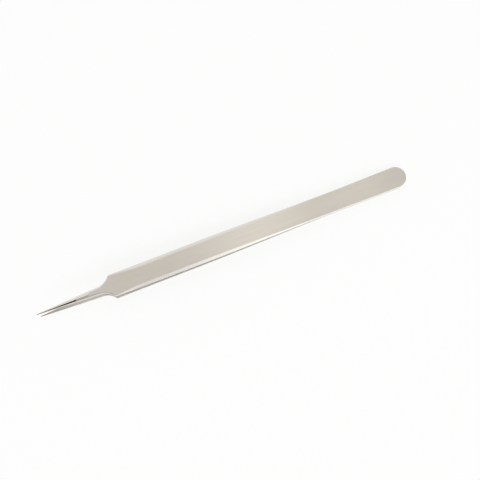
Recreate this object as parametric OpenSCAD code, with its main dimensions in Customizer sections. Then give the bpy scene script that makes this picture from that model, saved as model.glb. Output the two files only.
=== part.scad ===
// Straight fine-point tweezers: two ground steel arms, welded back to back at the tail.
// Each arm is one flat blade. It is modelled as a heel, up to the place where it flexes, and the arm beyond.
// Millimetres. +X runs from tail to tips, +Y across the blades, +Z up from the table that they lie on.

/* [Outline of an arm] */
// Overall length, from the round tail to the tips
length = 155; // [145:1:165]
// Width across the round tail
tail_w = 8.6; // [8:0.1:9.4]
// Width across the waist, between the tail and the grip
waist_w = 8.2; // [7.6:0.1:8.6]
// Distance of the waist from the tail's end
waist_at = 33; // [26:1:40]
// Width across the belly of the grip
belly_w = 9.1; // [8.6:0.1:9.8]
// Distance of the belly from the tail's end
belly_at = 85; // [75:1:95]
// Width across the shoulder, where the grip ends
shoulder_w = 8.8; // [8.2:0.1:9.2]
// Length of a tine, from the shoulder's corner to the tip
tine_l = 30.3; // [28:0.1:33]
// Distance of the neck from the tip, where the shoulder's curve begins
neck_at = 25.6; // [24:0.1:26.5]
// Width across the neck
neck_w = 3.1; // [2.8:0.1:3.6]
// Radius that rounds the shoulder's corner
corner_r = 0.8; // [0.4:0.1:1.2]
// Width where the fine point begins
point_w = 2.2; // [1.8:0.05:2.4]
// Width of the very tip
tip_w = 0.3; // [0.2:0.05:0.5]

/* [Thickness and ground faces] */
// Thickness of the sheet that the arms are stamped from
sheet_t = 1.3; // [1.1:0.05:1.5]
// Thickness of a tine where the fine point begins
point_t = 0.85; // [0.75:0.05:1]
// Thickness of the very tip
tip_t = 0.25; // [0.2:0.05:0.4]
// Length of the fine point, ground steeper than the rest of the tine
point_l = 16; // [14:0.5:18]
// Width of the bevel along the belly's edges
belly_bevel = 1.1; // [0.8:0.05:1.3]
// Width of the bevel at the shoulder's corner
shoulder_bevel = 0.35; // [0.3:0.05:0.8]
// Length over which the belly's bevel narrows to the shoulder's
bevel_taper = 12; // [8:1:20]
// Width of the bevel along a tine
tine_bevel = 0.45; // [0.3:0.05:0.6]
// Width of the small break round the tail's edge
tail_break = 0.2; // [0.1:0.05:0.3]
// Slope of the bevels, from the flat face
bevel_angle = 25; // [18:1:30]
// Slope of the two facets that are ground along a tine
tine_angle = 7; // [4:1:12]
// Slope of the two facets of the fine point
point_angle = 14; // [10:1:20]
// Width of the ridge left between those facets
ridge_w = 0.06; // [0.04:0.01:0.1]
// Break along the inner edges
inner_break = 0.12; // [0.08:0.01:0.16]

/* [Spring of the arms] */
// Length of the heel, where the two sheets lie face to face
heel_l = 18; // [17:1:22]
// Radius of the gentle bend in front of the heel
bend_r = 600; // [400:25:700]
// Angle of each arm from the middle plane
arm_angle = 1.85; // [1.6:0.05:2.1]
// Angle by which each tine turns back in at the shoulder
tine_turn = 0.1; // [0:0.05:0.4]
// Distance from the tail's end to the middle of the flexing length
flex_at = 48; // [47:1:54]

/* [Spot welds] */
// Diameter of a weld nugget
weld_d = 3.2; // [2.4:0.1:4]
// Depth of a nugget in each sheet
weld_depth = 0.5; // [0.3:0.05:0.7]
// Distance of the first weld from the tail's end
weld_at = 7; // [6:0.5:8]
// Distance between the two welds
weld_pitch = 8; // [6:0.5:9]

/* [Hidden] */
$fn = 96;
STEEL = [0.79, 0.77, 0.73];
WELD = [0.62, 0.61, 0.60];
WELDS = 2;
// Stations closer together than this count as one
TINY = 0.001;
// How many steps each stretch of the arm is drawn with
TAIL_END_STEPS = 3;
TAIL_STEPS = 12;
BLADE_STEPS = 30;
CORNER_STEPS = 8;
SHOULDER_STEPS = 14;
TINE_STEPS = 6;
POINT_STEPS = 4;
// Length over which a tine's facets steepen into those of the fine point
GRIND_RUN = 0.4;
// First angle of the tail's half round, which leaves no needle-sharp triangle at its end
TAIL_START = 2;
// Largest share of a half width that a bevel or a break may take
MOST_BEVEL = 0.4;
// Share of the blade's flat face where the ground facets begin, at the shoulder
FACET_START = 0.95;

tail_r = tail_w / 2;
shoulder_at = length - tine_l;
tine_from = length - neck_at;
point_at = length - point_l;
bend_end = heel_l + bend_r * arm_angle * PI / 180;

function mix(a, b, t) = a + (b - a) * t;
function clamp(t) = min(1, max(0, t));
function ease(t) = clamp(t) * clamp(t) * (3 - 2 * clamp(t));
function part_way(s, from, to) = clamp((s - from) / (to - from));
function swell(s, from, to, a, b) = mix(a, b, ease((s - from) / (to - from)));

// Path of an arm's inner face, as [x, z], for a distance s along it from the tail's end
tine_slope = arm_angle - tine_turn;
bend_tip = [heel_l + bend_r * sin(arm_angle), bend_r * (1 - cos(arm_angle))];
neck_foot = bend_tip + (shoulder_at - bend_end) * [cos(arm_angle), sin(arm_angle)];
function bend_path(s) =
    let (turn = (s - heel_l) / bend_r * 180 / PI)
    [heel_l + bend_r * sin(turn), bend_r * (1 - cos(turn))];
function path(s) =
    s <= heel_l ? [s, 0] :
    s <= bend_end ? bend_path(s) :
    s <= shoulder_at ? bend_tip + (s - bend_end) * [cos(arm_angle), sin(arm_angle)] :
    neck_foot + (s - shoulder_at) * [cos(tine_slope), sin(tine_slope)];
function slope(s) =
    s <= heel_l ? 0 :
    s < bend_end ? (s - heel_l) / bend_r * 180 / PI :
    s < shoulder_at ? arm_angle :
    s > shoulder_at ? tine_slope : (arm_angle + tine_slope) / 2;

// Arc that leaves one point at a given turn from the arm's length and passes through another
function arc_radius(from, to, turn) =
    let (chord = to - from)
    norm(chord) / (2 * sin(atan2(chord[1], chord[0]) - turn));
function arc_rise(run, turn, r) = r * (cos(turn) - sqrt(1 - pow(sin(turn) + run / r, 2)));
function arc_end(from, to, turn) = 2 * atan2(to[1] - from[1], to[0] - from[0]) - turn;

// Outline of a tine, as half widths for a distance d from the tip
point_rate = (point_w - tip_w) / 2 / point_l;
flare_run = neck_at - point_l;
flare = (neck_w / 2 - point_w / 2 - point_rate * flare_run) / pow(flare_run, 2);
neck_turn = atan(point_rate + 2 * flare * flare_run);
neck_point = [neck_at, neck_w / 2];
corner_point = [tine_l, shoulder_w / 2];
shoulder_r = arc_radius(neck_point, corner_point, neck_turn);
corner_turn = arc_end(neck_point, corner_point, neck_turn);
function tine_half(d) =
    d <= point_l ? tip_w / 2 + point_rate * d :
    d <= neck_at ? point_w / 2 + point_rate * (d - point_l) + flare * pow(d - point_l, 2) :
    neck_w / 2 + arc_rise(d - neck_at, neck_turn, shoulder_r);

// Outline of the whole arm
function blade_half(s) =
    s < tail_r ? sqrt(pow(tail_r, 2) - pow(tail_r - s, 2)) :
    s < waist_at ? swell(s, tail_r, waist_at, tail_w, waist_w) / 2 :
    s < belly_at ? swell(s, waist_at, belly_at, waist_w, belly_w) / 2 :
    swell(s, belly_at, shoulder_at, belly_w, shoulder_w) / 2;
corner_from = shoulder_at - corner_r * tan(corner_turn / 2);
corner_to = corner_from + corner_r * sin(corner_turn);
function corner_half(s) = shoulder_w / 2 - corner_r + sqrt(pow(corner_r, 2) - pow(s - corner_from, 2));
function half_width(s) =
    s <= corner_from ? blade_half(s) :
    s <= corner_to ? corner_half(s) :
    tine_half(length - s);

// Inner edge of the bevels, as half widths
corner_setback = shoulder_bevel * tan(corner_turn / 2);
bevel_neck = [neck_at, neck_w / 2 - tine_bevel];
bevel_corner = [tine_l + corner_setback, shoulder_w / 2 - shoulder_bevel];
bevel_r = arc_radius(bevel_neck, bevel_corner, neck_turn);
bevel_corner_at = shoulder_at - corner_setback;
taper_from = shoulder_at - bevel_taper;
function blade_bevel(s) =
    s < waist_at ? tail_break :
    s < belly_at ? swell(s, waist_at, belly_at, tail_break, belly_bevel) :
    swell(s, taper_from, bevel_corner_at, belly_bevel, shoulder_bevel);
function tail_edge(s) = sqrt(max(0, pow(tail_r - tail_break, 2) - pow(tail_r - s, 2)));
function tine_edge(d) =
    d <= neck_at ? tine_half(d) - min(tine_bevel, MOST_BEVEL * tine_half(d)) :
    bevel_neck[1] + arc_rise(d - neck_at, neck_turn, bevel_r);
function bevel_edge(s) =
    s < tail_r ? max(half_width(s) * MOST_BEVEL, tail_edge(s)) :
    s < bevel_corner_at ? half_width(s) - blade_bevel(s) :
    tine_edge(length - s);

// Half width of the flat that the ground facets leave, from the shoulder to the ridge of the fine point
function flat_half(s) = mix(bevel_edge(s) * FACET_START, ridge_w / 2, ease(part_way(s, shoulder_at, point_at)));

// Thickness along the middle of the arm, and heights of the bevel's two edges
tail_end_t = sheet_t - tail_break * tan(bevel_angle);
function thickness(s) =
    s < tail_break ? mix(tail_end_t, sheet_t, s / tail_break) :
    s <= shoulder_at ? sheet_t :
    s <= point_at ? mix(sheet_t, point_t, part_way(s, shoulder_at, point_at)) :
    mix(point_t, tip_t, part_way(s, point_at, length));
function facet_angle(s) =
    s <= point_at ? mix(0, tine_angle, part_way(s, shoulder_at, tine_from)) :
    mix(tine_angle, point_angle, part_way(s, point_at, point_at + GRIND_RUN));
function edge_height(s) = thickness(s) - (bevel_edge(s) - flat_half(s)) * tan(facet_angle(s));
function wall_height(s) = edge_height(s) - (half_width(s) - bevel_edge(s)) * tan(bevel_angle);

// Half of the cross-section at a distance s, as points [half width, height over the inner face]
function half_section(s) =
    let (w = half_width(s), h = wall_height(s), e = min(inner_break, w * MOST_BEVEL, h * MOST_BEVEL))
    [[w - e, 0], [w, e], [w, h], [bevel_edge(s), edge_height(s)], [flat_half(s), thickness(s)]];
function section(s) =
    let (half = half_section(s), last = len(half) - 1)
    concat(half, [for (k = [last:-1:0]) [-half[k][0], half[k][1]]]);
function placed(s) = [
    for (p = section(s))
    let (foot = path(s), turn = slope(s))
    [foot[0] - p[1] * sin(turn), p[0], foot[1] + p[1] * cos(turn)]
];

// Distances along the arm at which a cross-section is drawn
function evenly(from, to, steps) = [for (k = [1:steps]) mix(from, to, k / steps)];
function round_tail(turn) = tail_r * (1 - cos(turn));
tail_break_turn = acos(1 - tail_break / tail_r);
tail_stations = concat(
    [round_tail(TAIL_START)],
    [for (turn = evenly(TAIL_START, tail_break_turn, TAIL_END_STEPS)) round_tail(turn)],
    [for (turn = evenly(tail_break_turn, 90, TAIL_STEPS)) round_tail(turn)]
);
blade_end = min(bevel_corner_at, corner_from);
stations = concat(
    tail_stations,
    evenly(tail_r, blade_end, BLADE_STEPS),
    evenly(blade_end, corner_to, CORNER_STEPS),
    evenly(corner_to, tine_from, SHOULDER_STEPS),
    evenly(tine_from, point_at, TINE_STEPS),
    [point_at + GRIND_RUN],
    evenly(point_at + GRIND_RUN, length, POINT_STEPS)
);

// Stretch of the arm between two distances from the tail's end, drawn through its cross-sections
module arm_stretch(from, to) {
    inner = [for (s = stations) if (s > from + TINY && s < to - TINY) s];
    cuts = concat([from], inner, [to]);
    corners = len(section(from));
    last_ring = (len(cuts) - 1) * corners;
    sides = [
        for (i = [0:len(cuts) - 2], j = [0:corners - 1])
        let (a = i * corners + j, b = i * corners + (j + 1) % corners)
        [a, a + corners, b + corners, b]
    ];
    tail_cap = [for (j = [0:corners - 1]) j];
    tip_cap = [for (j = [corners - 1:-1:0]) last_ring + j];
    polyhedron(points = [for (s = cuts) each placed(s)], faces = concat(sides, [tail_cap, tip_cap]));
}

// How the tweezers lie: on the lower arm's tail and shoulder, with the origin under the middle of their length
function outer_point(s) = path(s) + thickness(s) * [-sin(slope(s)), cos(slope(s))];
tail_rest = outer_point(tail_break);
shoulder_rest = outer_point(shoulder_at);
rest_angle = atan((shoulder_rest[1] - tail_rest[1]) / (shoulder_rest[0] - tail_rest[0]));
rest_lift = tail_rest[1] * cos(rest_angle) - tail_rest[0] * sin(rest_angle);
tip_foot = path(length);
reach = tip_foot[0] * cos(rest_angle) + tip_foot[1] * sin(rest_angle);
overhang = sheet_t * sin(rest_angle);

module lying() {
    translate([-(reach - overhang) / 2, 0, rest_lift])
    rotate([0, -rest_angle, 0])
    children();
}

module weld_nuggets() {
    for (k = [0:WELDS - 1])
        translate([weld_at + k * weld_pitch, 0, 0])
        cylinder(h = 2 * weld_depth, d = weld_d, center = true);
}

module heel() {
    difference() {
        arm_stretch(tail_stations[0], flex_at);
        weld_nuggets();
    }
}

module upper_heel() {
    color(STEEL) lying() heel();
}

module lower_heel() {
    color(STEEL) lying() mirror([0, 0, 1]) heel();
}

module spot_welds() {
    color(WELD) lying() weld_nuggets();
}

module upper_arm() {
    color(STEEL) lying() arm_stretch(flex_at, length);
}

module lower_arm() {
    color(STEEL) lying() mirror([0, 0, 1]) arm_stretch(flex_at, length);
}

upper_heel();
lower_heel();
spot_welds();
upper_arm();
lower_arm();
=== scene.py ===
"""Straight fine-point tweezers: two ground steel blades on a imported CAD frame."""

import math

import bmesh
import bpy
from bpy.props import FloatProperty, FloatVectorProperty, IntProperty, PointerProperty
from bpy.types import Operator, Panel, PropertyGroup
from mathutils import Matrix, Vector


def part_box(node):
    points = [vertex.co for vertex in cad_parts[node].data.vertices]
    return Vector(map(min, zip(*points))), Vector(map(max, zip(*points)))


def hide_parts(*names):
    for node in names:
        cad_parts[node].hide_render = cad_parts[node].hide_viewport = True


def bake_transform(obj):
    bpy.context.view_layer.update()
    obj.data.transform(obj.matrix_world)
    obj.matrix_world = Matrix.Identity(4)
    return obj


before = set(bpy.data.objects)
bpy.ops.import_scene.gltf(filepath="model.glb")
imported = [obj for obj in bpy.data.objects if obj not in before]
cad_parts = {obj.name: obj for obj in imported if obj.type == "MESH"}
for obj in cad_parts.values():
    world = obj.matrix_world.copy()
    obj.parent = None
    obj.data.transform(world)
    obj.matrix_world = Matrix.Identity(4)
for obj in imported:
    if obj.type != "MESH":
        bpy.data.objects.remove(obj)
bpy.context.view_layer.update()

bl_info = {
    "name": "Straight tweezers",
    "version": (1, 0, 0),
    "blender": (4, 5, 0),
    "location": "3D View > Sidebar > Tweezers",
    "description": "Builds a pair of straight fine-point tweezers on its CAD frame",
    "category": "Add Mesh",
}

# The blades are drawn at one unit to a millimetre and brought to metres at the end
MM = 0.001
TINY = 0.0001
# How near a vertex has to be to the place that is looked for, in the same millimetres
NEAR = 0.002
# How far a blade may stand off its solids, in millimetres
FIT = 0.03
# How far the floor lies under the blades, in millimetres
FLOOR_DROP = 0.02
# Rows of a blade's grid from each side: the side wall, the bevel's inner edge and the flat's edge
WALL, BEVEL, FLAT = 0, 1, 2
ROWS = 6
# Material slots of a blade, after slot 0 for its broad face
EDGE, TINE, INNER, SIDE, INNER_TINE, TINE_SIDE = range(1, 7)
# How many waves of noise a metre holds, along the blade, across it and through it
STREAK_WAVES = (18, 900, 900)
PATCH_WAVES = (60, 160, 160)
PIT_WAVES = (2600, 2600, 2600)
# How many times longer than wide a grind line is
GRIND_STRETCH = 90
# Shares of the grind lines, the long streaks and the soft patches in the steel's tone
LINE_SHARE, STREAK_SHARE, PATCH_SHARE = 0.35, 0.35, 0.3
# Range of that tone, which runs from the darkest to the lightest steel
TONE_LOW, TONE_HIGH = 0.35, 0.65
# How much lighter than its colour the steel gets, as a share of how much darker it gets
LIFT_SHARE = 0.6
# How far the grind lines and the patches change the roughness, and how deep a pit is beside a line
LINE_ROUGHNESS, PATCH_ROUGHNESS = 0.10, 0.06
PIT_SHARE = 0.4
BUMP_STRENGTH = 0.35
# How many times coarser the grain of the inner faces is
INNER_GRAIN = 1.5
# Distances from the middle of the tweezers, in metres, where the painted shade on the tips begins and
# where it is full
TIP_SHADE_FROM, TIP_SHADE_AT = 0.058, 0.077


def ease(t):
    """Smooth share of a way, with level ends."""
    t = min(1, max(0, t))
    return t * t * (3 - 2 * t)


def mix(a, b, t):
    return a + (b - a) * t


def part_way(s, start, end):
    return min(1, max(0, (s - start) / (end - start)))


def swell(s, start, end, a, b):
    return mix(a, b, ease(part_way(s, start, end)))


def evenly(start, end, steps):
    return [mix(start, end, k / steps) for k in range(1, steps + 1)]


def length_prop(name, description, default, low, high):
    """A length that is kept in metres and given here in millimetres."""
    return FloatProperty(name=name, description=description, default=default * MM, min=low * MM,
                         max=high * MM, unit="LENGTH", precision=5)


def angle_prop(name, description, default, low, high):
    """An angle that is kept in radians and given here in degrees."""
    return FloatProperty(name=name, description=description, default=math.radians(default),
                         min=math.radians(low), max=math.radians(high), unit="ROTATION")


def colour_prop(name, description, default):
    return FloatVectorProperty(name=name, description=description, default=default, size=3,
                               min=0, max=1, subtype="COLOR")


class TweezersBlade(PropertyGroup):
    length: length_prop("Length", "Overall length, from the round tail to the tip", 155, 145, 165)
    tail_w: length_prop("Tail width", "Width across the round tail", 8.6, 8, 9.4)
    waist_w: length_prop("Waist width", "Width between the tail and the grip", 8.2, 7.6, 8.6)
    waist_at: length_prop("Waist place", "Distance of the waist from the tail's end", 33, 26, 40)
    belly_w: length_prop("Belly width", "Width across the belly of the grip", 9.1, 8.6, 9.8)
    belly_at: length_prop("Belly place", "Distance of the belly from the tail's end", 85, 75, 95)
    shoulder_w: length_prop("Shoulder width", "Width where the grip ends", 8.8, 8.2, 9.2)
    tine_l: length_prop("Tine length", "From the shoulder's corner to the tip", 30.3, 28, 33)
    neck_at: length_prop("Neck place", "Distance of the neck from the tip", 25.6, 24, 26.5)
    neck_w: length_prop("Neck width", "Width across the neck", 3.1, 2.8, 3.6)
    corner_r: length_prop("Corner radius", "Radius of the shoulder's corner", 0.8, 0.4, 1.2)
    point_l: length_prop("Fine point", "Length that is ground steeper", 16, 14, 18)
    point_w: length_prop("Fine point width", "Width where the fine point begins", 2.2, 1.8, 2.4)
    tip_w: length_prop("Tip width", "Width of the very tip", 0.3, 0.2, 0.5)
    sheet_t: length_prop("Sheet", "Thickness of the sheet of the blades", 1.3, 1.1, 1.5)
    point_t: length_prop("Fine point thickness", "Thickness where the fine point begins", 0.85, 0.75, 1)
    tip_t: length_prop("Tip thickness", "Thickness of the very tip", 0.25, 0.2, 0.4)
    belly_bevel: length_prop("Belly bevel", "Width of the bevel at the belly", 1.1, 0.8, 1.3)
    shoulder_bevel: length_prop("Shoulder bevel", "Width of the bevel at the shoulder", 0.35, 0.3, 0.8)
    bevel_taper: length_prop("Bevel taper", "Length over which the bevel narrows", 12, 8, 20)
    tine_bevel: length_prop("Tine bevel", "Width of the bevel along a tine", 0.45, 0.3, 0.6)
    tail_break: length_prop("Tail break", "Width of the small break round the tail", 0.2, 0.1, 0.3)
    ridge_w: length_prop("Ridge", "Width of the ridge between the ground facets", 0.06, 0.04, 0.1)
    inner_break: length_prop("Inner break", "Rounding along the inner edges", 0.12, 0.08, 0.16)
    soft_break: length_prop("Soft rounding", "Rounding of the far bevel's inner edge", 0.6, 0.2, 1)
    bevel_angle: angle_prop("Bevel angle", "Slope of the bevels", 25, 18, 30)
    tine_angle: angle_prop("Tine angle", "Slope of the facets along a tine", 7, 4, 12)
    point_angle: angle_prop("Point angle", "Slope of the facets of the fine point", 14, 10, 20)
    heel_l: length_prop("Heel", "Length where the two sheets lie face to face", 18, 17, 22)
    bend_r: length_prop("Bend radius", "Radius of the bend in front of the heel", 600, 400, 700)
    arm_angle: angle_prop("Arm angle", "Angle of each arm from the middle plane", 1.85, 1.6, 2.1)
    tine_turn: angle_prop("Tine turn", "How far each tine turns back in", 0.1, 0, 0.4)
    bend_steps: IntProperty(name="Bend steps", description="Steps of the gentle bend", default=8,
                            min=4, max=16)
    flex_from: length_prop("Flex start", "Where a blade begins to flex, from the tail's end", 19, 17, 24)
    flex_to: length_prop("Flex end", "Where a blade is stiff again, from the tail's end", 100, 80, 120)


class TweezersFinish(PropertyGroup):
    face: colour_prop("Face", "Satin steel of the broad faces", (0.785, 0.727, 0.645))
    edge: colour_prop("Bevels", "Polished steel of the bevels", (0.80, 0.775, 0.72))
    wall: colour_prop("Side walls", "Tumbled steel of the side walls", (0.79, 0.775, 0.745))
    point: colour_prop("Point", "Ground steel of the tines", (0.76, 0.72, 0.66))
    inside: colour_prop("Inside", "Steel of the inner faces", (0.84, 0.81, 0.77))
    inner_point: colour_prop("Inner point", "Lapped steel inside the tines", (0.84, 0.80, 0.76))
    tine_wall: colour_prop("Tine walls", "Stoned steel of the tines' side walls", (0.72, 0.69, 0.655))
    # The colour that the tips are darkened to is painted shade, not wear
    tip: colour_prop("Tips", "Steel of the very tips, dulled by use", (0.55, 0.50, 0.45))
    weld: colour_prop("Weld", "Dull steel of the weld nuggets", (0.46, 0.45, 0.44))
    grain: length_prop("Grain", "Distance between the grind lines", 0.12, 0.05, 0.5)


class TweezersStage(PropertyGroup):
    azimuth: angle_prop("Azimuth", "Direction of the camera, where 0 looks along +Y", 158.4, 0, 360)
    elevation: angle_prop("Elevation", "Height of the camera over the horizon", 80.99, 0, 90)
    distance: length_prop("Distance", "From the camera to what it looks at", 360.4, 100, 2000)
    target_x: length_prop("Target X", "Point of the floor that the camera looks at", -6.28, -80, 80)
    target_y: length_prop("Target Y", "Point of the floor that the camera looks at", 0.33, -80, 80)
    lens: FloatProperty(name="Lens", description="Focal length on a 36 mm sensor", default=67.875,
                        min=20, max=200, unit="CAMERA")
    floor: colour_prop("Floor", "Colour of the plain floor", (0.97, 0.97, 0.965))
    horizon: colour_prop("Horizon", "Colour of the room low down, all round", (0.9, 0.9, 0.9))
    floor_size: length_prop("Floor size", "Side of the square floor", 6000, 1000, 10000)
    lamp_distance: length_prop("Lamp distance", "From the tweezers to the soft lamp", 1000, 300, 3000)
    lamp_size: length_prop("Lamp size", "Diameter of the soft lamp", 500, 50, 2000)
    lamp_lean: angle_prop("Lamp lean", "How far the lamp stands off the zenith, towards +Y", 40, 0, 80)
    lamp_power: FloatProperty(name="Lamp power", description="Power of the soft lamp", default=1.5,
                              min=0, max=50, unit="POWER")


class BladeShape:
    """Outline and section of a blade in millimetres, at a distance s from the tail's end."""

    # Largest share of a half width that a tine's bevel takes
    most_bevel = 0.4
    # Shares of the bevel's edge where the ground facets begin, and where the flat row runs along the grip
    facet_start = 0.95
    grip_flat = 0.55
    # Length before the shoulder over which the flat row moves out and the soft rounding ends
    fade_run = 3
    # Length over which a tine's facets steepen into those of the fine point
    grind_run = 0.4
    # Length from the shoulder's corner to the finish of the tine's faces
    finish_run = 1.5
    # Length between the grip's last column and the corner of the bevel
    corner_gap = 0.2
    # Length before the fine point over which the roundings narrow
    point_lead = 6
    # Rounding of the side walls' edges and of the bevels' other edges
    wall_break = 0.08
    ridge_break = 0.05
    # Largest shares of the half width that the roundings take
    inner_share = 0.25
    wall_share = 0.13
    ridge_share = 0.05
    # Share of the far bevel that its soft rounding takes, less a gap that keeps it off the wall's
    soft_share = 0.95
    soft_gap = 0.1
    # Columns of the grid in each stretch of the blade
    tail_steps = 20
    heel_steps = 6
    grip_steps = 40
    corner_steps = 14
    shoulder_steps = 26
    tine_steps = 10
    point_steps = 12

    def __init__(self, sizes):
        for name, prop in sizes.bl_rna.properties.items():
            if prop.type == "FLOAT":
                value = getattr(sizes, name)
                setattr(self, name, value / MM if prop.unit == "LENGTH" else value)
        self.bend_steps = sizes.bend_steps
        self.tail_r = self.tail_w / 2
        self.shoulder_at = self.length - self.tine_l
        self.tine_from = self.length - self.neck_at
        self.point_at = self.length - self.point_l
        self.bend_l = self.bend_r * self.arm_angle
        self.set_tine()

    def set_tine(self):
        """Work out the arcs of the neck and the shoulder."""
        run = self.neck_at - self.point_l
        self.point_rate = (self.point_w - self.tip_w) / 2 / self.point_l
        self.flare = (self.neck_w / 2 - self.point_w / 2 - self.point_rate * run) / run ** 2
        self.neck_turn = math.atan(self.point_rate + 2 * self.flare * run)
        neck = (self.neck_at, self.neck_w / 2)
        corner = (self.tine_l, self.shoulder_w / 2)
        self.shoulder_r, self.corner_turn = self.arc(neck, corner)
        self.setback = self.shoulder_bevel * math.tan(self.corner_turn / 2)
        bevel_neck = (neck[0], neck[1] - self.tine_bevel)
        bevel_corner = (corner[0] + self.setback, corner[1] - self.shoulder_bevel)
        self.bevel_r = self.arc(bevel_neck, bevel_corner)[0]
        self.corner_from = self.shoulder_at - self.corner_r * math.tan(self.corner_turn / 2)
        self.corner_to = self.corner_from + self.corner_r * math.sin(self.corner_turn)

    def arc(self, start, end):
        """Radius and end direction of the arc that leaves start along the neck's direction."""
        run = end[0] - start[0]
        rise = end[1] - start[1]
        chord = math.atan2(rise, run)
        radius = math.hypot(run, rise) / (2 * math.sin(chord - self.neck_turn))
        return radius, 2 * chord - self.neck_turn

    def arc_rise(self, run, radius):
        along = math.sin(self.neck_turn) + run / radius
        return radius * (math.cos(self.neck_turn) - math.sqrt(max(0, 1 - along ** 2)))

    def tine_half(self, d):
        """Half width at a distance d from the tip."""
        past = d - self.point_l
        if d <= self.point_l:
            return self.tip_w / 2 + self.point_rate * d
        if d <= self.neck_at:
            return self.point_w / 2 + self.point_rate * past + self.flare * past ** 2
        return self.neck_w / 2 + self.arc_rise(d - self.neck_at, self.shoulder_r)

    def half_width(self, s):
        if s < self.tail_r:
            return math.sqrt(self.tail_r ** 2 - (self.tail_r - s) ** 2)
        if s < self.waist_at:
            return swell(s, self.tail_r, self.waist_at, self.tail_w, self.waist_w) / 2
        if s < self.belly_at:
            return swell(s, self.waist_at, self.belly_at, self.waist_w, self.belly_w) / 2
        if s <= self.corner_from:
            return swell(s, self.belly_at, self.shoulder_at, self.belly_w, self.shoulder_w) / 2
        if s <= self.corner_to:
            drop = self.corner_r - math.sqrt(self.corner_r ** 2 - (s - self.corner_from) ** 2)
            return self.shoulder_w / 2 - drop
        return self.tine_half(self.length - s)

    def bevel_width(self, s):
        if s < self.waist_at:
            return self.tail_break
        if s < self.belly_at:
            return swell(s, self.waist_at, self.belly_at, self.tail_break, self.belly_bevel)
        start, end = self.shoulder_at - self.bevel_taper, self.shoulder_at - self.setback
        return swell(s, start, end, self.belly_bevel, self.shoulder_bevel)

    def bevel_edge(self, s):
        """Half width at the inner edge of the bevels."""
        half = self.half_width(s)
        if s < self.tail_r:
            return math.sqrt(max(0, (self.tail_r - self.tail_break) ** 2 - (self.tail_r - s) ** 2))
        if s < self.shoulder_at - self.setback:
            return half - self.bevel_width(s)
        d = self.length - s
        if d <= self.neck_at:
            return half - min(self.tine_bevel, self.most_bevel * half)
        return self.neck_w / 2 - self.tine_bevel + self.arc_rise(d - self.neck_at, self.bevel_r)

    def flat_half(self, s):
        """Half width of the flat that the ground facets leave."""
        share = ease(part_way(s, self.shoulder_at, self.point_at))
        fade = ease(part_way(s, self.shoulder_at - self.fade_run, self.shoulder_at))
        start = mix(self.grip_flat, self.facet_start, fade)
        return mix(self.bevel_edge(s) * start, self.ridge_w / 2, share)

    def thickness(self, s):
        if s <= self.point_at:
            return mix(self.sheet_t, self.point_t, part_way(s, self.shoulder_at, self.point_at))
        return mix(self.point_t, self.tip_t, part_way(s, self.point_at, self.length))

    def facet_slope(self, s):
        if s <= self.point_at:
            return math.tan(mix(0, self.tine_angle, part_way(s, self.shoulder_at, self.tine_from)))
        share = part_way(s, self.point_at, self.point_at + self.grind_run)
        return math.tan(mix(self.tine_angle, self.point_angle, share))

    def tail_radius(self, row):
        """Radius of a row round the tail, where all rows are circles about one middle."""
        if row == FLAT:
            return self.flat_half(self.tail_r)
        return self.tail_r - self.tail_break if row == BEVEL else self.tail_r

    def rows(self, s):
        """Place along the blade, half width and height of each row of the outer side."""
        if s < self.tail_r - TINY:
            turn = math.acos(1 - s / self.tail_r)
            rim = self.sheet_t - self.tail_break * math.tan(self.bevel_angle)
            return {row: (self.tail_r - self.tail_radius(row) * math.cos(turn),
                          self.tail_radius(row) * math.sin(turn),
                          rim if row == WALL else self.sheet_t) for row in (WALL, BEVEL, FLAT)}
        wall, bevel, flat = self.half_width(s), self.bevel_edge(s), self.flat_half(s)
        top = self.thickness(s)
        edge = top - (bevel - flat) * self.facet_slope(s)
        return {WALL: (s, wall, edge - (wall - bevel) * math.tan(self.bevel_angle)),
                BEVEL: (s, bevel, edge), FLAT: (s, flat, top)}

    def on_row(self, row, x, y):
        """Whether a place of the blade, before it is bent, lies on a row."""
        if x < self.tail_r - TINY:
            return abs(math.hypot(self.tail_r - x, y) - self.tail_radius(row)) < NEAR
        return abs(abs(y) - self.rows(x)[row][1]) < NEAR

    def stations(self):
        """Distances at which the blade's grid has a column."""
        turns = [0] + evenly(0, math.pi / 2, self.tail_steps)
        tail = [self.tail_r * (1 - math.cos(turn)) for turn in turns]
        heel = evenly(self.tail_r, self.heel_l, self.heel_steps)
        bend = [self.bend_place(k) for k in range(self.bend_steps)] + [self.heel_l + self.bend_l]
        grip = evenly(bend[-1], self.shoulder_at - self.setback - self.corner_gap, self.grip_steps)
        corner = evenly(grip[-1], self.corner_to, self.corner_steps)
        shoulder = evenly(self.corner_to, self.tine_from, self.shoulder_steps)
        tine = evenly(self.tine_from, self.point_at, self.tine_steps)
        steep_at = self.point_at + self.grind_run
        point = [steep_at] + evenly(steep_at, self.length, self.point_steps)
        return tail + heel + bend + grip + corner + shoulder + tine + point

    def bend_place(self, k):
        return self.heel_l + (k + 0.5) * self.bend_l / self.bend_steps

    def point(self, s, tall=0):
        """Place (x, z) in the middle plane, over the inner face, before the blade is laid down."""
        bend_end = self.heel_l + self.bend_l
        turn = self.arm_angle * part_way(s, self.heel_l, bend_end)
        arm = max(0, min(s, self.shoulder_at) - bend_end)
        x = min(s, self.heel_l) + self.bend_r * math.sin(turn) + arm * math.cos(turn)
        z = self.bend_r * (1 - math.cos(turn)) + arm * math.sin(turn)
        if s > self.shoulder_at:
            turn -= self.tine_turn
            x += (s - self.shoulder_at) * math.cos(turn)
            z += (s - self.shoulder_at) * math.sin(turn)
        return x - tall * math.sin(turn), z + tall * math.cos(turn)

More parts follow.
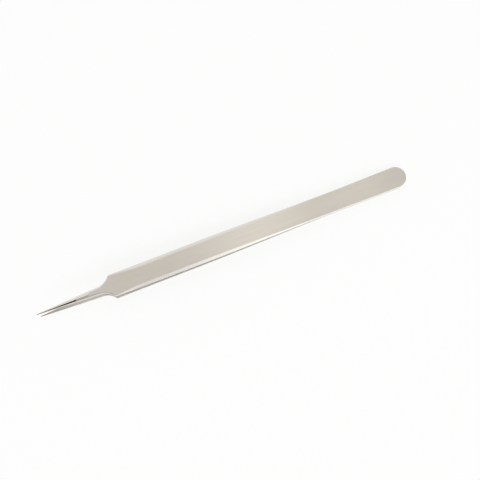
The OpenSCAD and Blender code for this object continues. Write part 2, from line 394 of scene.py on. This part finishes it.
    def lying(self):
        """Turn, shift along X and lift that lay the tweezers on the floor, centred on their length."""
        tail_x, tail_z = self.point(self.tail_break, self.sheet_t)
        shoulder_x, shoulder_z = self.point(self.shoulder_at, self.sheet_t)
        turn = math.atan2(shoulder_z - tail_z, shoulder_x - tail_x)
        tip_x, tip_z = self.point(self.length)
        reach = tip_x * math.cos(turn) + tip_z * math.sin(turn)
        shift = (self.sheet_t * math.sin(turn) - reach) / 2
        return turn, shift, tail_z * math.cos(turn) - tail_x * math.sin(turn)


def only(obj):
    """Make one object the selected and active one."""
    bpy.ops.object.select_all(action="DESELECT")
    obj.select_set(True)
    bpy.context.view_layer.objects.active = obj


def edit():
    bpy.ops.object.mode_set(mode="EDIT")


def leave_edit():
    bpy.ops.object.mode_set(mode="OBJECT")


def pick(obj, kind, test):
    """Select in edit mode the vertices, edges or faces that pass the test, and nothing else."""
    bpy.ops.mesh.select_mode(type=kind)
    bpy.ops.mesh.select_all(action="DESELECT")
    shape = bmesh.from_edit_mesh(obj.data)
    things = {"VERT": shape.verts, "EDGE": shape.edges, "FACE": shape.faces}[kind]
    for thing in things:
        if test(thing):
            thing.select_set(True)
    shape.select_flush_mode()
    bmesh.update_edit_mesh(obj.data, loop_triangles=False, destructive=False)


def pick_vertices(obj, indices):
    shape = bmesh.from_edit_mesh(obj.data)
    shape.verts.ensure_lookup_table()
    for vertex in shape.verts:
        vertex.select = False
    for k in indices:
        shape.verts[k].select = True
    shape.select_flush_mode()


class Socket:
    """A node's output that can stand in a sum, such as 1 - mask."""

    def __init__(self, tree, socket):
        self.tree = tree
        self.socket = socket

    def _math(self, operation, a, b):
        return self.tree.node("ShaderNodeMath", {"operation": operation}, {0: a, 1: b})

    def __add__(self, other):
        return self._math("ADD", self, other)

    def __sub__(self, other):
        return self._math("SUBTRACT", self, other)

    def __rsub__(self, other):
        return self._math("SUBTRACT", other, self)

    def __mul__(self, other):
        return self._math("MULTIPLY", self, other)

    __radd__ = __add__
    __rmul__ = __mul__


class Nodes:
    """A node tree that is built from expressions."""

    def __init__(self, owner):
        owner.use_nodes = True
        self.tree = owner.node_tree
        self.tree.nodes.clear()

    def node(self, kind, settings=None, sockets=None, out=0):
        """Add a node with its settings, then the values or links of its sockets."""
        node = self.tree.nodes.new(kind)
        for name, value in (settings or {}).items():
            if name == "stops":
                self.set_stops(node.color_ramp, value)
            else:
                setattr(node, name, value)
        for name, value in (sockets or {}).items():
            if isinstance(value, Socket):
                self.tree.links.new(value.socket, node.inputs[name])
            else:
                node.inputs[name].default_value = value
        return Socket(self, node.outputs[out]) if node.outputs else node

    def set_stops(self, ramp, stops):
        while len(ramp.elements) < len(stops):
            ramp.elements.new(1)
        for element, (place, value) in zip(ramp.elements, stops):
            element.position = place
            element.color = (value, value, value, 1) if isinstance(value, (int, float)) else (*value, 1)

    def place(self, stretch=(1, 1, 1)):
        """Object coordinates in metres, stretched."""
        at = self.node("ShaderNodeTexCoord", out="Object")
        return self.node("ShaderNodeMapping", {}, {"Vector": at, "Scale": stretch})

    def noise(self, stretch, detail=2, rough=0.5):
        """Even noise from 0 to 1, with a middle of 0.5."""
        return self.node("ShaderNodeTexNoise", {}, {"Vector": self.place(stretch), "Scale": 1,
                                                    "Detail": detail, "Roughness": rough})

    def between(self, value, low, high):
        """The value's range from low to high, spread over 0 to 1."""
        return self.node("ShaderNodeMapRange", {"clamp": True},
                         {"Value": value, "From Min": low, "From Max": high})

    def mix_colour(self, share, a, b, blend="MIX"):
        """Two colours mixed, through the colour sockets of a Mix node."""
        settings = {"data_type": "RGBA", "blend_type": blend}
        return self.node("ShaderNodeMix", settings, {0: share, 6: a, 7: b}, out=2)

    def times(self, a, b):
        """One colour multiplied by another."""
        return self.mix_colour(1.0, a, b, "MULTIPLY")

    def ramp(self, value, stops):
        return self.node("ShaderNodeValToRGB", {"stops": stops}, {"Fac": value})


def rgba(colour, level=1):
    return (colour[0] * level, colour[1] * level, colour[2] * level, 1)


def steel(name, colour, roughness, grain_mm, depth_mm, mottle=0.04, tip_shade_colour=None):
    """Ground stainless steel: fine lines along the blade, soft patches, and tips darkened by painted
    shade.
    """
    made = bpy.data.materials.new(name)
    nodes = Nodes(made)
    fine = 1 / (grain_mm * MM)
    lines = nodes.noise((fine / GRIND_STRETCH, fine, fine), detail=3, rough=0.6)
    streaks = nodes.noise(STREAK_WAVES)
    patches = nodes.noise(PATCH_WAVES, detail=3, rough=0.55)
    pits = nodes.noise(PIT_WAVES, rough=0.6)
    tone = lines * LINE_SHARE + streaks * STREAK_SHARE + patches * PATCH_SHARE
    level = nodes.between(tone, TONE_LOW, TONE_HIGH)
    darkest, lightest = 1 - mottle, 1 + mottle * LIFT_SHARE
    base = nodes.mix_colour(level, rgba(colour, darkest), rgba(colour, lightest))
    # Painted shade: the base colour darkens towards the tips
    if tip_shade_colour is not None:
        along = nodes.node("ShaderNodeSeparateXYZ", {}, {"Vector": nodes.place()}, out="X")
        base = nodes.mix_colour(nodes.between(along, TIP_SHADE_FROM, TIP_SHADE_AT), base, rgba(tip_shade_colour))
    spread = roughness + (lines - 0.5) * LINE_ROUGHNESS + (patches - 0.5) * PATCH_ROUGHNESS
    height = lines + pits * PIT_SHARE
    bump = nodes.node("ShaderNodeBump", {}, {
        "Height": height, "Strength": BUMP_STRENGTH, "Distance": depth_mm * MM})
    shader = nodes.node("ShaderNodeBsdfPrincipled", {}, {
        "Base Color": base, "Roughness": spread, "Metallic": 1.0, "Normal": bump})
    nodes.node("ShaderNodeOutputMaterial", {}, {"Surface": shader})
    return made


def draw_blank(shape, name):
    """Draw one blade flat, as a grid that is widened to its outline and given its ground faces."""
    stations = shape.stations()
    columns = len(stations)
    bpy.ops.object.select_all(action="DESELECT")
    bpy.ops.mesh.primitive_grid_add(x_subdivisions=columns - 1, y_subdivisions=ROWS - 1, size=2,
                                    enter_editmode=False, location=(0, 0, 0))
    blade = bpy.context.active_object
    blade.name = name
    blade.data.name = name
    columns_at = sort_columns(blade, columns)
    edit()
    bpy.ops.mesh.select_mode(type="VERT")
    for numbers, s in zip(columns_at, stations):
        fit_column(blade, numbers, shape.rows(s))
    bpy.ops.mesh.select_all(action="SELECT")
    bpy.ops.mesh.remove_doubles(threshold=NEAR)
    raise_outer_side(blade, shape)
    leave_edit()
    return blade


def sort_columns(blade, columns):
    """Vertex numbers of each column of the grid, from one side to the other."""
    order = sorted(blade.data.vertices, key=lambda v: (round(v.co.x, 5), v.co.y))
    numbers = [v.index for v in order]
    if len(numbers) != columns * ROWS:
        raise RuntimeError("the grid has another number of columns than the blade has stations")
    return [numbers[k * ROWS:(k + 1) * ROWS] for k in range(columns)]


def fit_column(blade, numbers, rows):
    """Move the three pairs of one column to their place along the blade and widen them."""
    for row, (along, half, height) in rows.items():
        pair = [numbers[row], numbers[ROWS - 1 - row]]
        here = blade.data.vertices[pair[0]].co
        pick_vertices(blade, pair)
        bpy.ops.transform.translate(value=(along - here.x, 0, 0))
        bpy.ops.transform.resize(value=(1, half / abs(here.y), 1), center_override=(0, 0, 0))


def raise_outer_side(blade, shape):
    """Extrude the flat outline and bring each pair of the new side to its height."""
    bpy.ops.mesh.select_all(action="SELECT")
    bpy.ops.mesh.extrude_region_move(TRANSFORM_OT_translate={"value": (0, 0, shape.sheet_t)})
    mesh = bmesh.from_edit_mesh(blade.data)
    risen = [(vertex.index, vertex.co.x, abs(vertex.co.y)) for vertex in mesh.verts if vertex.co.z > TINY]
    for s in shape.stations():
        for along, half, height in shape.rows(s).values():
            pair = [index for index, x, y in risen if abs(x - along) < NEAR and abs(y - half) < NEAR]
            pick_vertices(blade, pair)
            bpy.ops.transform.translate(value=(0, 0, height - shape.sheet_t))
    bpy.ops.mesh.select_all(action="SELECT")
    bpy.ops.mesh.normals_make_consistent(inside=False)


def assign_finishes(blade, shape, finishes):
    """Give the side walls and bevels, the ground tine and the inner face their own finish."""
    for made in finishes:
        blade.data.materials.append(made)

    # Heights of a face's normal, over which it looks up and under which it looks in
    upward, inward = 0.3, -0.5
    tine_from = shape.shoulder_at + shape.finish_run

    def along(face):
        return face.calc_center_median().x

    def is_side(face):
        return abs(face.normal.z) < upward

    def is_bevel(face):
        middle = face.calc_center_median()
        return abs(middle.y) > shape.bevel_edge(middle.x) + TINY and face.normal.z > upward

    tests = {
        EDGE: is_bevel,
        SIDE: lambda face: is_side(face) and along(face) < shape.corner_from,
        TINE: lambda face: face.normal.z > upward and along(face) > tine_from and not is_bevel(face),
        TINE_SIDE: lambda face: is_side(face) and along(face) > shape.corner_from,
        INNER: lambda face: face.normal.z < inward,
        INNER_TINE: lambda face: face.normal.z < inward and along(face) > tine_from,
    }
    edit()
    for slot, test in tests.items():
        pick(blade, "FACE", test)
        blade.active_material_index = slot
        bpy.ops.object.material_slot_assign()
    leave_edit()


def weigh_edges(blade, shape):
    """Mark how far each edge is rounded: softly along the far bevel, and less towards the tip."""
    soft_end = shape.shoulder_at - shape.fade_run

    def row_edge(row, start, end, side):
        def test(edge):
            places = [vertex.co for vertex in edge.verts]
            middle = (places[0] + places[1]) / 2
            inner = row is None
            return (start < middle.x <= end and middle.y * side > 0
                    and all((place.z < TINY) == inner for place in places)
                    and all(shape.on_row(row or WALL, place.x, place.y) for place in places))
        return test

    def radius(row, side, s):
        room = shape.half_width(s) if s > shape.shoulder_at else shape.tail_r
        if row is None:
            return min(shape.inner_break, shape.inner_share * room)
        if row == WALL:
            return min(shape.wall_break, shape.wall_share * room)
        if side < 0 and shape.tail_r < s < soft_end:
            return min(shape.soft_break, shape.soft_share * shape.bevel_width(s) - shape.soft_gap)
        return min(shape.ridge_break, shape.ridge_share * room)

    cuts = [0, shape.tail_r, shape.waist_at]
    cuts += evenly(shape.waist_at, soft_end - shape.soft_gap, shape.grip_steps)
    cuts += [shape.corner_to, shape.point_at - shape.point_lead, shape.point_at]
    cuts += evenly(shape.point_at, shape.length, shape.point_steps)
    edit()
    for start, end in zip(cuts, cuts[1:]):
        for row in (None, WALL, BEVEL):
            for side in (-1, 1):
                pick(blade, "EDGE", row_edge(row, start, end, side))
                least = min(radius(row, side, start), radius(row, side, end))
                bpy.ops.transform.edge_bevelweight(value=least / shape.soft_break)
    leave_edit()


def round_edges(blade, shape):
    """Round the marked edges and let the broad faces rule the shading."""
    only(blade)
    bpy.ops.object.shade_smooth()
    bpy.ops.object.modifier_add(type="BEVEL")
    rounding = blade.modifiers[-1]
    rounding.limit_method = "WEIGHT"
    rounding.width = shape.soft_break
    rounding.segments = 4
    rounding.use_clamp_overlap = False
    bpy.ops.object.modifier_apply(modifier=rounding.name)
    bpy.ops.object.modifier_add(type="WEIGHTED_NORMAL")
    shading = blade.modifiers[-1]
    shading.weight = 90
    shading.keep_sharp = True
    bpy.ops.object.modifier_apply(modifier=shading.name)


def bend_blade(blade, shape):
    """Bend the blade in front of its heel, and turn its tine back in at the shoulder."""
    turns = [(shape.bend_place(k), shape.arm_angle / shape.bend_steps) for k in range(shape.bend_steps)]
    turns.append((shape.shoulder_at, -shape.tine_turn))
    edit()
    for place, turn in reversed(turns):
        pick(blade, "VERT", lambda vertex: vertex.co.x > place + TINY)
        bpy.ops.transform.rotate(value=turn, orient_axis="Y", center_override=(place, 0, 0))
    leave_edit()


def turn_over(blade):
    """Mirror the copy for the under side, and turn its faces outwards again."""
    edit()
    bpy.ops.mesh.select_all(action="SELECT")
    bpy.ops.transform.resize(value=(1, 1, -1), center_override=(0, 0, 0))
    bpy.ops.mesh.normals_make_consistent(inside=False)
    leave_edit()


def lay_blade(blade, shape):
    """Lay a blade on the floor and bring it to metres."""
    turn, shift, lift = shape.lying()
    edit()
    bpy.ops.mesh.select_all(action="SELECT")
    bpy.ops.transform.rotate(value=turn, orient_axis="Y", center_override=(0, 0, 0))
    bpy.ops.transform.translate(value=(shift, 0, lift))
    bpy.ops.transform.resize(value=(MM, MM, MM), center_override=(0, 0, 0))
    leave_edit()


class TWEEZERS_OT_blades(Operator):
    """Draw, grind, bend and lay the two blades"""

    bl_idname = "tweezers.blades"
    bl_label = "Blades"

    def execute(self, context):
        shape = BladeShape(context.scene.tweezers_blade)
        colours = context.scene.tweezers_finish
        grain = colours.grain / MM
        # The tips' colour paints shade onto the tines, their inner faces and their side walls
        tip = colours.tip
        finishes = [
            steel("satin_face", colours.face, roughness=0.19, grain_mm=grain, depth_mm=0.0025),
            steel("polished_bevel", colours.edge, roughness=0.20, grain_mm=grain, depth_mm=0.002,
                  mottle=0.02),
            steel("ground_tine", colours.point, roughness=0.14, grain_mm=grain, depth_mm=0.002,
                  mottle=0.03, tip_shade_colour=tip),
            steel("inner_face", colours.inside, roughness=0.52, grain_mm=grain * INNER_GRAIN,
                  depth_mm=0.005),
            steel("tumbled_wall", colours.wall, roughness=0.42, grain_mm=grain, depth_mm=0.004),
            steel("inner_point", colours.inner_point, roughness=0.40, grain_mm=grain, depth_mm=0.003,
                  tip_shade_colour=tip),
            steel("tine_wall", colours.tine_wall, roughness=0.35, grain_mm=grain, depth_mm=0.003,
                  tip_shade_colour=tip),
        ]
        upper = draw_blank(shape, "upper_blade")
        assign_finishes(upper, shape, finishes)
        weigh_edges(upper, shape)
        bend_blade(upper, shape)
        only(upper)
        bpy.ops.object.duplicate()
        lower = context.active_object
        lower.name = "lower_blade"
        lower.data.name = "lower_blade"
        turn_over(lower)
        for blade, side in ((upper, "upper"), (lower, "lower")):
            round_edges(blade, shape)
            lay_blade(blade, shape)
            self.join_frame(blade, shape, side)
        return {"FINISHED"}

    def join_frame(self, blade, shape, side):
        """Check the blade against its solids, then bake its place and hide the solids that it stands in
        for.
        """
        heel, arm = side + "_heel", side + "_arm"
        low = [min(a, b) for a, b in zip(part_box(heel)[0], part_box(arm)[0])]
        high = [max(a, b) for a, b in zip(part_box(heel)[1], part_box(arm)[1])]
        places = [vertex.co for vertex in blade.data.vertices]
        for axis in range(3):
            gap = max(abs(min(p[axis] for p in places) - low[axis]),
                      abs(max(p[axis] for p in places) - high[axis]))
            if gap > FIT * MM:
                raise RuntimeError(f"{blade.name} stands {gap / MM:.3f} mm off its solids")
        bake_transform(blade)
        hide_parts(heel, arm)


class TWEEZERS_OT_welds(Operator):
    """Give the spot welds between the sheets their dull steel"""

    bl_idname = "tweezers.welds"
    bl_label = "Spot welds"

    def execute(self, context):
        colours = context.scene.tweezers_finish
        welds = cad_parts["spot_welds"]
        made = steel("weld_steel", colours.weld, roughness=0.5, grain_mm=0.3, depth_mm=0.01, mottle=0.12)
        welds.data.materials.clear()
        welds.data.materials.append(made)
        return {"FINISHED"}


class TWEEZERS_OT_stage(Operator):
    """Set the floor, the soft light and the camera"""

    bl_idname = "tweezers.stage"
    bl_label = "Stage"

    def execute(self, context):
        stage = context.scene.tweezers_stage
        self.floor(stage)
        self.world(context.scene, stage)
        self.lamp(stage)
        self.camera(context.scene, stage)
        context.scene.view_settings.view_transform = "Standard"
        return {"FINISHED"}

    def floor(self, stage):
        """A plain floor that the camera and the steel see as white, with the blades' shadow on it."""
        shadow_level, glow_level = 0.2, 0.85
        bpy.ops.object.select_all(action="DESELECT")
        bpy.ops.mesh.primitive_plane_add(size=stage.floor_size, location=(0, 0, -FLOOR_DROP * MM))
        floor = bpy.context.active_object
        floor.name = "floor"
        made = bpy.data.materials.new("pale_floor")
        nodes = Nodes(made)
        matt = nodes.node("ShaderNodeBsdfDiffuse", {}, {"Color": rgba(stage.floor)})
        shaded = nodes.node("ShaderNodeBsdfDiffuse", {}, {"Color": rgba(stage.floor, shadow_level)})
        glow = nodes.node("ShaderNodeEmission", {}, {"Color": rgba(stage.floor), "Strength": glow_level})
        seen = nodes.node("ShaderNodeAddShader", {}, {0: shaded, 1: glow})
        ray = nodes.node("ShaderNodeLightPath", out="Is Camera Ray")
        glossy = nodes.node("ShaderNodeLightPath", out="Is Glossy Ray")
        through = nodes.node("ShaderNodeLightPath", out="Is Transmission Ray")
        share = nodes.node("ShaderNodeMath", {"operation": "ADD", "use_clamp": True},
                           {0: ray + glossy, 1: through})
        shader = nodes.node("ShaderNodeMixShader", {}, {0: share, 1: matt, 2: seen})
        nodes.node("ShaderNodeOutputMaterial", {}, {"Surface": shader})
        floor.data.materials.append(made)

    def world(self, scene, stage):
        """A pale room: white low down, softer overhead, with one dark place over the near side."""
        scene.world = bpy.data.worlds.new("soft_room")
        nodes = Nodes(scene.world)
        at = nodes.node("ShaderNodeTexCoord", out="Generated")
        along = nodes.node("ShaderNodeSeparateXYZ", {}, {"Vector": at}, out="X") * 0.5 + 0.5
        across = nodes.node("ShaderNodeSeparateXYZ", {}, {"Vector": at}, out="Y") * 0.5 + 0.5
        height = nodes.node("ShaderNodeSeparateXYZ", {}, {"Vector": at}, out="Z")
        room = nodes.times(self.crosswise(nodes, along, across), self.lengthwise(nodes, along, across))
        room = nodes.times(room, self.dark_place(nodes, at))
        horizon_top, room_from = 0.28, 0.42
        room = nodes.mix_colour(nodes.between(height, horizon_top, room_from), rgba(stage.horizon), room)
        glow = nodes.node("ShaderNodeBackground", {}, {"Color": room, "Strength": 1.0})
        nodes.node("ShaderNodeOutputWorld", {}, {"Surface": glow})

    def crosswise(self, nodes, along, across):
        """Brightness from the far side to the near side, over the grip, the tines and the points."""
        over_grip = nodes.ramp(across, [
            (0.0, 0.9), (0.07, 1.0), (0.14, 0.95), (0.2, 0.88), (0.305, 0.8), (0.43, 0.73), (0.545, 0.7),
            (0.665, 0.75), (0.83, 1.0), (1.0, 1.0)])
        over_tines = nodes.ramp(across, [
            (0.0, 0.75), (0.07, 0.8), (0.2, 1.05), (0.305, 0.97), (0.43, 0.73), (0.545, 0.6),
            (0.665, 0.72), (0.83, 1.0), (1.0, 1.0)])
        over_points = nodes.ramp(across, [
            (0.0, 1.1), (0.07, 1.15), (0.2, 1.12), (0.305, 1.0), (0.43, 0.73), (0.545, 0.62),
            (0.665, 0.72), (0.83, 1.05), (1.0, 1.0)])
        around = nodes.mix_colour(nodes.between(along, 0.49, 0.515), over_grip, over_tines)
        return nodes.mix_colour(nodes.between(along, 0.532, 0.545), around, over_points)

    def lengthwise(self, nodes, along, across):
        """Brightness from over the tail to over the tips: on the far side, overhead, on the near side."""
        overhead = nodes.ramp(along, [
            (0.0, 0.5), (0.2, 0.84), (0.345, 0.87), (0.358, 0.985), (0.374, 1.045), (0.388, 1.07),
            (0.397, 1.6), (0.414, 1.6), (0.424, 1.05), (0.445, 0.87), (0.475, 0.97), (0.58, 1.0),
            (0.6, 0.72), (0.8, 0.5), (1.0, 0.3)])
        far_side = nodes.ramp(along, [
            (0.0, 0.5), (0.2, 0.84), (0.345, 0.87), (0.38, 0.98), (0.397, 1.12), (0.42, 1.05),
            (0.445, 0.87), (0.475, 0.97), (0.58, 1.0), (0.6, 0.72), (0.8, 0.5), (1.0, 0.3)])
        near_side = nodes.ramp(along, [
            (0.0, 0.7), (0.25, 1.5), (0.38, 1.65), (0.4, 1.45), (0.425, 1.35), (0.447, 0.95),
            (0.475, 0.77), (0.5, 0.82), (0.58, 0.92), (0.61, 0.74), (0.8, 0.6), (1.0, 0.4)])
        light = nodes.mix_colour(nodes.between(across, 0.2, 0.36), far_side, overhead)
        return nodes.mix_colour(nodes.between(across, 0.6, 0.78), light, near_side)

    def dark_place(self, nodes, at):
        """A brown dark place, which the near facet of the upper point reflects."""
        direction = (0.10, 0.33, 0.939)
        nearness = nodes.node("ShaderNodeVectorMath", {"operation": "DOT_PRODUCT"},
                              {0: at, 1: direction}, out="Value")
        return nodes.ramp(nearness, [
            (0.0, 1.0), (0.96, 1.0), (0.976, (0.8, 0.78, 0.76)), (0.986, (0.37, 0.33, 0.29)),
            (0.993, (0.10, 0.075, 0.055)), (1.0, (0.05, 0.04, 0.03))])

    def lamp(self, stage):
        """A wide soft lamp over the near side, which draws the faint shadow on the far side."""
        away = stage.lamp_distance
        lean = stage.lamp_lean
        place = (0, away * math.sin(lean), away * math.cos(lean))
        bpy.ops.object.light_add(type="AREA", location=place, rotation=(-lean, 0, 0))
        lamp = bpy.context.active_object
        lamp.name = "soft_lamp"
        lamp.data.shape = "DISK"
        lamp.data.size = stage.lamp_size
        lamp.data.energy = stage.lamp_power
        lamp.visible_glossy = False

    def camera(self, scene, stage):
        """The photograph's point of view."""
        a, e = stage.azimuth, stage.elevation
        back = Vector((math.sin(a) * math.cos(e), -math.cos(a) * math.cos(e), math.sin(e)))
        place = Vector((stage.target_x, stage.target_y, 0)) + back * stage.distance
        turn = (-back).to_track_quat("-Z", "Y").to_euler()
        bpy.ops.object.camera_add(location=place, rotation=turn)
        camera = bpy.context.active_object
        camera.name = "camera"
        camera.data.lens = stage.lens
        camera.data.clip_start = 0.01
        camera.data.clip_end = 20
        scene.camera = camera


class TWEEZERS_PT_panel(Panel):
    """Tweezers panel in the sidebar"""

    bl_idname = "TWEEZERS_PT_panel"
    bl_label = "Tweezers"
    bl_space_type = "VIEW_3D"
    bl_region_type = "UI"
    bl_category = "Tweezers"

    def draw(self, context):
        for group in ("tweezers_blade", "tweezers_finish", "tweezers_stage"):
            box = self.layout.box()
            settings = getattr(context.scene, group)
            for name in settings.__annotations__:
                box.prop(settings, name)
        for operator in OPERATORS:
            self.layout.operator(operator.bl_idname)


GROUPS = {
    "tweezers_blade": TweezersBlade,
    "tweezers_finish": TweezersFinish,
    "tweezers_stage": TweezersStage,
}
OPERATORS = (TWEEZERS_OT_stage, TWEEZERS_OT_blades, TWEEZERS_OT_welds)


def register():
    for name, group in GROUPS.items():
        bpy.utils.register_class(group)
        setattr(bpy.types.Scene, name, PointerProperty(type=group))
    for operator in OPERATORS:
        bpy.utils.register_class(operator)
    bpy.utils.register_class(TWEEZERS_PT_panel)


def unregister():
    bpy.utils.unregister_class(TWEEZERS_PT_panel)
    for operator in reversed(OPERATORS):
        bpy.utils.unregister_class(operator)
    for name, group in reversed(GROUPS.items()):
        delattr(bpy.types.Scene, name)
        bpy.utils.unregister_class(group)


def main():
    register()
    bpy.ops.tweezers.stage()
    bpy.ops.tweezers.blades()
    bpy.ops.tweezers.welds()


if __name__ == "__main__":
    main()
